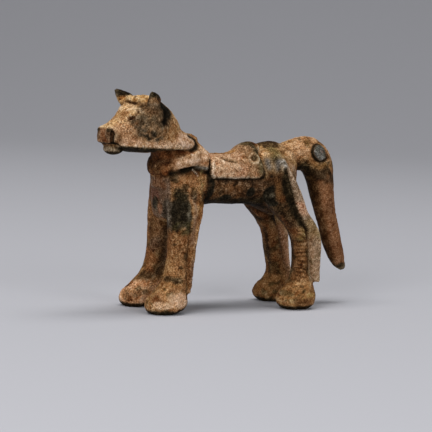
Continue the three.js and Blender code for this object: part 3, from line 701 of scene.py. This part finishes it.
# Each hind shin is reddish with olive clouds, and the near one has fine ridges across it.
shin = ease(14, 16, x) * ease(30, 26, z) * ease(34, 32, x)
striae = np.sin(2 * np.pi * (z + 0.7 * mid) / STRIAE_PITCH)
striae *= spot((25.2, -12, 19), (1.9, 1.6, 7.5), 0.8)
relief += 0.1 * striae
coat(SHIN_RED, 0.8 * shin * (1 - strip))
coat(SHIN_OLIVE, 0.65 * shin * (1 - strip) * ease(-0.1, 0.5, lumps(2.6, 55)))
coat(HOCK_GOLD, 0.7 * both([(25.6, -12, 28), (26.4, -12, 26.4), (25, -12.1, 25.2)], 0.9, 0.5))
coat(UMBER, 0.6 * ease(-0.1, -0.9, striae))
coat(SHIN_SHADE, 0.8 * both([(21.8, -6.6, 27), (22.4, -7, 20), (22.8, -7, 14)], 1.2, 0.5))
coat(FAR_STRIP, 0.85 * both(FAR_STRIP_PATH, 1.7, 0.4))
coat(UMBER, 0.15 * (1 - strip) * ease(8, 5, -y) * ease(13, 15, x) * ease(33, 20, z))

# The hooves are soft splayed lumps, cast with the legs and filed flat below. Their crust is golden
# on the toes and worn rims and rusty and olive between them. On the near fore hoof the pale toe and
# heel crusts carry a painted highlight, and a painted shadow blackens every sole, higher toward the
# heels of the fore hooves.
FORE_HOOF = (176, 130, 86)
FAR_HOOF = (208, 150, 104)
HIND_HOOF = (142, 99, 58)
HOOF_RUST = (96, 58, 32)
HOOF_OLIVE = (56, 48, 26)
HOOF_GOLD = (188, 142, 84)
TOE_CRUST_AND_HIGHLIGHT = (212, 168, 124)
HEEL_CRUST_AND_HIGHLIGHT = (212, 170, 130)
CORONET_GOLD = (184, 140, 92)
RIM_GOLD = (182, 146, 84)
RIM_OLIVE = (66, 52, 28)
CROWN_OLIVE = (58, 46, 26)
TOE_RUST = (90, 60, 34)
hoof = ease(10.5, 8.5, z) * np.maximum(ease(-12, -14, x), ease(11, 13, x) * ease(36, 35, x))
hind_hoof = hoof * ease(0, 2, x)
relief += 0.25 * hoof * lumps(2.6, 61)
coat(FORE_HOOF, 0.7 * hoof * (1 - hind_hoof) * ease(-0.6, 0.3, mid))
coat(HIND_HOOF, 0.8 * hind_hoof)
coat(HOOF_RUST, 0.5 * hoof * ease(0, 0.6, lumps(2.2, 62)))
coat(HOOF_OLIVE, 0.6 * hoof * ease(0.25, 0.55, lumps(1.5, 63)))
coat(HOOF_GOLD, 0.7 * hind_hoof * ease(0.3, 0.7, lumps(1.9, 68)) * ease(0, -2, y))
coat(UMBER, 0.2 * hind_hoof * ease(0, 3, y))
coat(FAR_HOOF, 0.75 * hoof * (1 - hind_hoof) * ease(2, 4, y) * ease(-0.7, 0.3, mid))
# Pale crust with a painted highlight on the toe and the heel of the near fore hoof.
coat(TOE_CRUST_AND_HIGHLIGHT, 0.8 * spot((-28.8, -14, 3.4), (2.6, 2, 0.8), 0.9, 0.8))
coat(HEEL_CRUST_AND_HIGHLIGHT, 0.85 * spot((-22.6, -14.2, 5.2), (3.4, 2, 1.8), 0.8, 0.6))
coat(CORONET_GOLD, 0.85 * both([(23.4, -12.7, 9.3), (26, -13.4, 9.3), (28.6, -13.2, 9)], 0.8, 0.4))
coat(RIM_GOLD, 0.6 * spot((27.8, -14.4, 5.2), (1.3, 2, 0.9), 0.9, 0.9))
coat(RIM_OLIVE, 0.6 * spot((19.6, -11.4, 5.8), (1.5, 2.4, 0.7), 1, 1))
crown_stain = spot((23.6, -14, 7.6), (2.8, 1.6, 0.9), 0.7, 0.9)
coat(CROWN_OLIVE, 0.7 * crown_stain * ease(0, 0.4, lumps(0.9, 69)))
coat(TOE_RUST, 0.7 * spot((25, -14.4, 3.2), (2.6, 1.6, 1), 0.8, 0.7))
# A painted shadow blackens the sole, rising toward the heels of the fore hooves.
SOLE_SHADOW_RISE = 1.4
heel_shadow_rise = SOLE_SHADOW_RISE * ease(-24, -16, x) * ease(-12, -14, x)
coat(BLACK, 0.95 * hoof * ease(1.9, 1, z - heel_shadow_rise + 0.4 * ragged))

# The tail leaves the croup level, bends and hangs to a blunt tip. A round disc is let into
# its left side at the bend, in a ring groove, with fine cracks across it.
TAIL_CRUST = (182, 136, 94)
TAIL_MOTTLE = (96, 66, 38)
TAIL_RED = (124, 82, 53)
TAIL_LIGHT = (148, 100, 66)
TAIL_SHADE = (76, 47, 28)
TAIL_STAIN = (36, 25, 14)
TIP_OLIVE = (48, 40, 26)
DISC_GREY = (102, 101, 96)
DISC_GREEN = (66, 66, 56)
DISC_RUST = (92, 56, 44)
GROOVE_RUST = (96, 58, 34)
DISC_CENTRE = np.array([35.6, -5.1, 54.5])
DISC_STRETCH = (1.1, 1, 1)
DISC_EDGE = (3.05, 2.65)
GROOVE_RADIUS = 3.2
GROOVE_WIDTH = 0.45
TAIL_FORK = [
    (27, -3, 49.2), (30.8, -3.4, 48.4), (33, -2.6, 45.8), (34.4, -1.4, 42.6), (35.8, -0.8, 38.4),
]
disc_away = np.linalg.norm((points - DISC_CENTRE) / DISC_STRETCH, axis=1)
disc = ease(*DISC_EDGE, disc_away)
disc_groove = np.exp(-((disc_away - GROOVE_RADIUS) / GROOVE_WIDTH) ** 2) * ease(-3, -4, y)
cracks = np.maximum(
    stroke([(32.9, -4.8, 55.6), (35, -5.2, 54.2), (37.4, -4.9, 53.2)], 0.22, 0.05),
    stroke([(35.4, -4.6, 57), (35.2, -5.2, 54.4), (34.6, -5.4, 52)], 0.22, 0.05),
)
hanging = ease(50, 45, z) * ease(30, 32, x) * ease(7.2, 6.4, abs(y))
relief -= 0.06 * cracks * disc
tail_root = ease(24, 28, x) * ease(50, 52, z)
coat(TAIL_CRUST, 0.8 * tail_root * ease(-0.8, 0, mid))
coat(TAIL_MOTTLE, 0.7 * tail_root * ease(0.15, 0.6, lumps(1.5, 64)))
coat(TAIL_RED, 0.9 * hanging)
coat(TAIL_LIGHT, 0.4 * hanging * ease(0, 0.7, lumps(2.2, 65)) * ease(0.2, -0.4, normals[:, 1]))
coat(TAIL_SHADE, 0.45 * hanging * ease(0.1, 0.7, lumps(3, 66)))
tail_stain = ease(52, 50, z) * ease(42, 46, z + 1.4 * ragged) * ease(30, 32, x)
coat(TAIL_STAIN, 0.8 * tail_stain * ease(0, 0.5, 0.3 + mid))
coat(BLACK, 0.95 * both(TAIL_FORK, 2.2, 0.6))
# Painted shade on the faces of the tail that turn forward.
coat(UMBER, 0.7 * hanging * ease(-0.3, -0.8, normals[:, 0]))
coat(TIP_OLIVE, 0.85 * spot((49, -2, 12.6), (2.6, 3, 1.5), 0.6))
coat(DISC_GREY, 0.95 * disc)
coat(DISC_GREEN, 0.7 * disc * ease(-0.2, 0.5, lumps(1.6, 67)))
# Painted shade: the ring groove is blackened except on its upper rear arc, where it stays rusty.
from_disc = x - DISC_CENTRE[0] + 0.6 * (z - DISC_CENTRE[2])
coat(GROOVE_RUST, 0.9 * disc_groove)
coat(BLACK, 1.1 * disc_groove * ease(3.4, 0.6, from_disc) + 0.35 * cracks * disc)
coat(DISC_RUST, 0.5 * spot(DISC_CENTRE, (1.3, 1.2, 1), 0.8) * ease(0, 0.6, small))

# The skin of the casting is pitted and granular all over, less where it is bare and black.
# High grains are rubbed pale, the pits hold dark earth, and the palest crusts are a little cooler.
COOLING = (0, 2, 7)
GRAIN_STEPS = 5
FORM_STEPS = 37
lightness = paint.mean(axis=1)
paint += ease(110, 170, lightness)[:, None] * COOLING
dark = 1 - ease(50, 110, lightness)
crust = 1 - 0.5 * dark
grains = 0.55 * lumps(0.7, 72) + 0.45 * lumps(1.3, 73)
# The band, the rein's lobe, the muzzle, the tail and the hind shins are smoother than the rest.
smoother = np.clip(pale_band + lobe + muzzle + hanging + 0.7 * shin, 0, 1)
rough = (0.85 + 0.4 * lumps(3.2, 77)) * (1 - 0.4 * smoother)
pits = ease(0.35, 0.75, lumps(0.85, 74)) + ease(0.5, 0.8, lumps(1.7, 75))
relief += crust * (0.13 * grains - 0.15 * pits) + 0.1 * broad + 0.08 * mid
relief *= ease(0, 1.2, z)
points += normals * relief[:, None]
normals = facing(points)

# How far each point stands out of what is close about it, and out of the broader form. The tone
# is an exponent on the colour: above 1 makes it darker and richer, and below 1 makes it paler.
proud = np.einsum("ij,ij->i", points - spread(points, GRAIN_STEPS), normals)
edge = np.einsum("ij,ij->i", points - spread(points, FORM_STEPS), normals)
tone = 1 - (1.8 - 0.9 * dark) * np.clip(proud, -0.2, 0.16) - 0.3 * np.clip(edge, -0.8, 0.5)
tone -= rough * (0.16 * grains + 0.08 * lumps(0.6, 81) - 0.24 * pits)
tone -= 0.3 * dark * lumps(1.5, 82)
shown = np.clip(paint / 255, 0, 1) ** np.clip(tone, 0.5, 2.2)[:, None]
# From display values to linear light, by the two pieces of the sRGB curve.
linear = np.where(shown < 0.04045, shown / 12.92, ((shown + 0.055) / 1.055) ** 2.4)

skin.vertices.foreach_set("co", (points * MM).astype(np.float32).ravel())
skin.update()
skin.polygons.foreach_set("use_smooth", np.ones(len(skin.polygons), dtype=bool))
patina = skin.attributes.new("patina", "FLOAT_COLOR", "POINT")
painted_skin = np.column_stack([linear, np.clip(rough, 0.4, 1)]).astype(np.float32)
patina.data.foreach_set("color", painted_skin.ravel())
horse = bpy.data.objects.new("horse_cast", skin)
bpy.context.scene.collection.objects.link(horse)

# Corroded bronze is dry and earthy. Finer grain than the net can hold is left to the material:
# pale specks, dark pores and a fine bump, on top of the painted patina. The patina's alpha is the
# strength of that grain at each point.
bronze = bpy.data.materials.new("corroded_bronze")
bronze.use_nodes = True
nodes = bronze.node_tree.nodes
links = bronze.node_tree.links
surface = nodes["Principled BSDF"]


def node(kind, **values):
    """A new node with its sockets set by name, or linked where the value is a socket."""
    made = nodes.new(kind)
    for name, value in values.items():
        socket = made.inputs[name.replace("_", " ")]
        if isinstance(value, bpy.types.NodeSocket):
            links.new(value, socket)
        else:
            socket.default_value = value
    return made


def between(value, from_low, from_high, to_low, to_high):
    """The value carried from one range to another, held at the ends."""
    names = ("From_Min", "From_Max", "To_Min", "To_Max")
    ends = dict(zip(names, (from_low, from_high, to_low, to_high)))
    return node("ShaderNodeMapRange", Value=value, **ends).outputs["Result"]


def product(first, second):
    """The two values multiplied."""
    made = nodes.new("ShaderNodeMath")
    made.operation = "MULTIPLY"
    for socket, value in zip(made.inputs, (first, second)):
        if isinstance(value, bpy.types.NodeSocket):
            links.new(value, socket)
        else:
            socket.default_value = value
    return made.outputs["Value"]


where = nodes.new("ShaderNodeTexCoord").outputs["Object"]
painted = nodes.new("ShaderNodeAttribute")
painted.attribute_name = "patina"
fine = node("ShaderNodeTexNoise", Vector=where, Scale=2200.0, Detail=1.5, Roughness=0.6).outputs["Fac"]
pore = node("ShaderNodeTexVoronoi", Vector=where, Scale=1500.0).outputs["Distance"]
patch = node("ShaderNodeTexNoise", Vector=where, Scale=620.0, Detail=2.0).outputs["Fac"]
speck = between(fine, 0.36, 0.66, 0.55, 1.52)
pored = between(pore, 0.16, 0.28, 0.4, 1.0)
grit = node("ShaderNodeTexNoise", Vector=where, Scale=1500.0, Detail=1.0, Roughness=0.5).outputs["Fac"]
shade = product(product(speck, pored), between(grit, 0.55, 0.68, 1.0, 0.62))
richer = nodes.new("ShaderNodeGamma")
links.new(painted.outputs["Color"], richer.inputs["Color"])
links.new(between(fine, 0.34, 0.68, 1.2, 0.88), richer.inputs["Gamma"])
tinted = nodes.new("ShaderNodeMix")
tinted.data_type = "RGBA"
tinted.blend_type = "MULTIPLY"
links.new(painted.outputs["Alpha"], tinted.inputs["Factor"])
links.new(richer.outputs["Color"], tinted.inputs["A"])
links.new(shade, tinted.inputs["B"])
links.new(tinted.outputs["Result"], surface.inputs["Base Color"])
links.new(between(patch, 0.35, 0.65, 0.62, 0.86), surface.inputs["Roughness"])
height = product(between(fine, 0.3, 0.7, 0.0, 1.0), pored)
bump = node("ShaderNodeBump", Strength=0.6, Distance=0.00015, Height=height)
links.new(bump.outputs["Normal"], surface.inputs["Normal"])
surface.inputs["Metallic"].default_value = 0.0
surface.inputs["Specular IOR Level"].default_value = 0.08
surface.inputs["Specular Tint"].default_value = (1, 0.78, 0.5, 1)

skin.materials.clear()
skin.materials.append(bronze)
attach(horse, "root")
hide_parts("horse")

# The horse stands on a plain pale paper sweep, under one broad soft light from above
# and two weaker ones from the left and right of the camera.
SWEEP_HALF = 1.5
SWEEP_BACK = 0.85
SWEEP_RADIUS = 1.2
SWEEP_FRONT = -1.2
SWEEP_STEPS = 20
BEND_STEPS = 24


def paper_sweep():
    """A sheet that lies flat, then rises in a quarter circle behind the horse."""
    flat = np.linspace(SWEEP_FRONT, SWEEP_BACK, SWEEP_STEPS)
    bend = np.linspace(0, np.pi / 2, BEND_STEPS)[1:]
    run_y = np.concatenate([flat, SWEEP_BACK + SWEEP_RADIUS * np.sin(bend)])
    run_z = np.concatenate([np.zeros(SWEEP_STEPS), SWEEP_RADIUS * (1 - np.cos(bend))])
    across = np.linspace(-SWEEP_HALF, SWEEP_HALF, SWEEP_STEPS)
    grid_x, grid_y = np.meshgrid(across, run_y)
    grid_z = np.repeat(run_z[:, None], SWEEP_STEPS, axis=1)
    sheet = np.stack([grid_x, grid_y, grid_z], axis=-1).reshape(-1, 3)
    turned = np.array([
        [np.cos(AZIMUTH), -np.sin(AZIMUTH), 0],
        [np.sin(AZIMUTH), np.cos(AZIMUTH), 0],
        [0, 0, 1],
    ])
    sheet = sheet @ turned.T
    rows, columns = grid_x.shape
    corner = (np.arange(rows - 1)[:, None] * columns + np.arange(columns - 1)).ravel()
    faces = np.stack([corner, corner + 1, corner + columns + 1, corner + columns], axis=1)
    mesh = bpy.data.meshes.new("paper_sweep")
    mesh.from_pydata(sheet.tolist(), [], faces.tolist())
    mesh.polygons.foreach_set("use_smooth", np.ones(len(faces), dtype=bool))
    return bpy.data.objects.new("paper_sweep", mesh)


paper = paper_sweep()
bpy.context.scene.collection.objects.link(paper)
sheet_finish = bpy.data.materials.new("pale_paper")
sheet_finish.use_nodes = True
sheet_surface = sheet_finish.node_tree.nodes["Principled BSDF"]
sheet_surface.inputs["Base Color"].default_value = (0.49, 0.49, 0.525, 1)
sheet_surface.inputs["Roughness"].default_value = 0.9
paper.data.materials.append(sheet_finish)


def soft_light(name, place, target, wide, deep, power):
    """An area light at a place in metres, turned to face its target."""
    lamp = bpy.data.lights.new(name, "AREA")
    lamp.shape = "RECTANGLE"
    lamp.size = wide
    lamp.size_y = deep
    lamp.energy = power
    lit = bpy.data.objects.new(name, lamp)
    away = np.array(place) - np.array(target)
    away = away / np.linalg.norm(away)
    aside = np.cross([0, 1, 0.001], away)
    aside = aside / np.linalg.norm(aside)
    pose = np.eye(4)
    pose[:3, :3] = np.column_stack([aside, np.cross(away, aside), away])
    pose[:3, 3] = place
    lit.matrix_world = Matrix(pose.tolist())
    bpy.context.scene.collection.objects.link(lit)


soft_light("overhead", (-0.1, 0, 1.5), (0, 0, 0), 1.8, 0.5, 18)
soft_light("left_fill", (-0.75, -0.6, 0.4), (0, 0, 0.03), 0.6, 0.5, 5)
soft_light("right_fill", (0.3, -0.95, 0.45), (0, 0, 0.03), 0.6, 0.5, 2.6)

air = bpy.data.worlds.new("studio_air")
air.use_nodes = True
glow = air.node_tree.nodes["Background"]
glow.inputs["Color"].default_value = (0.96, 0.98, 1, 1)
glow.inputs["Strength"].default_value = 0.12
bpy.context.scene.world = air
bpy.context.scene.view_settings.view_transform = "Standard"
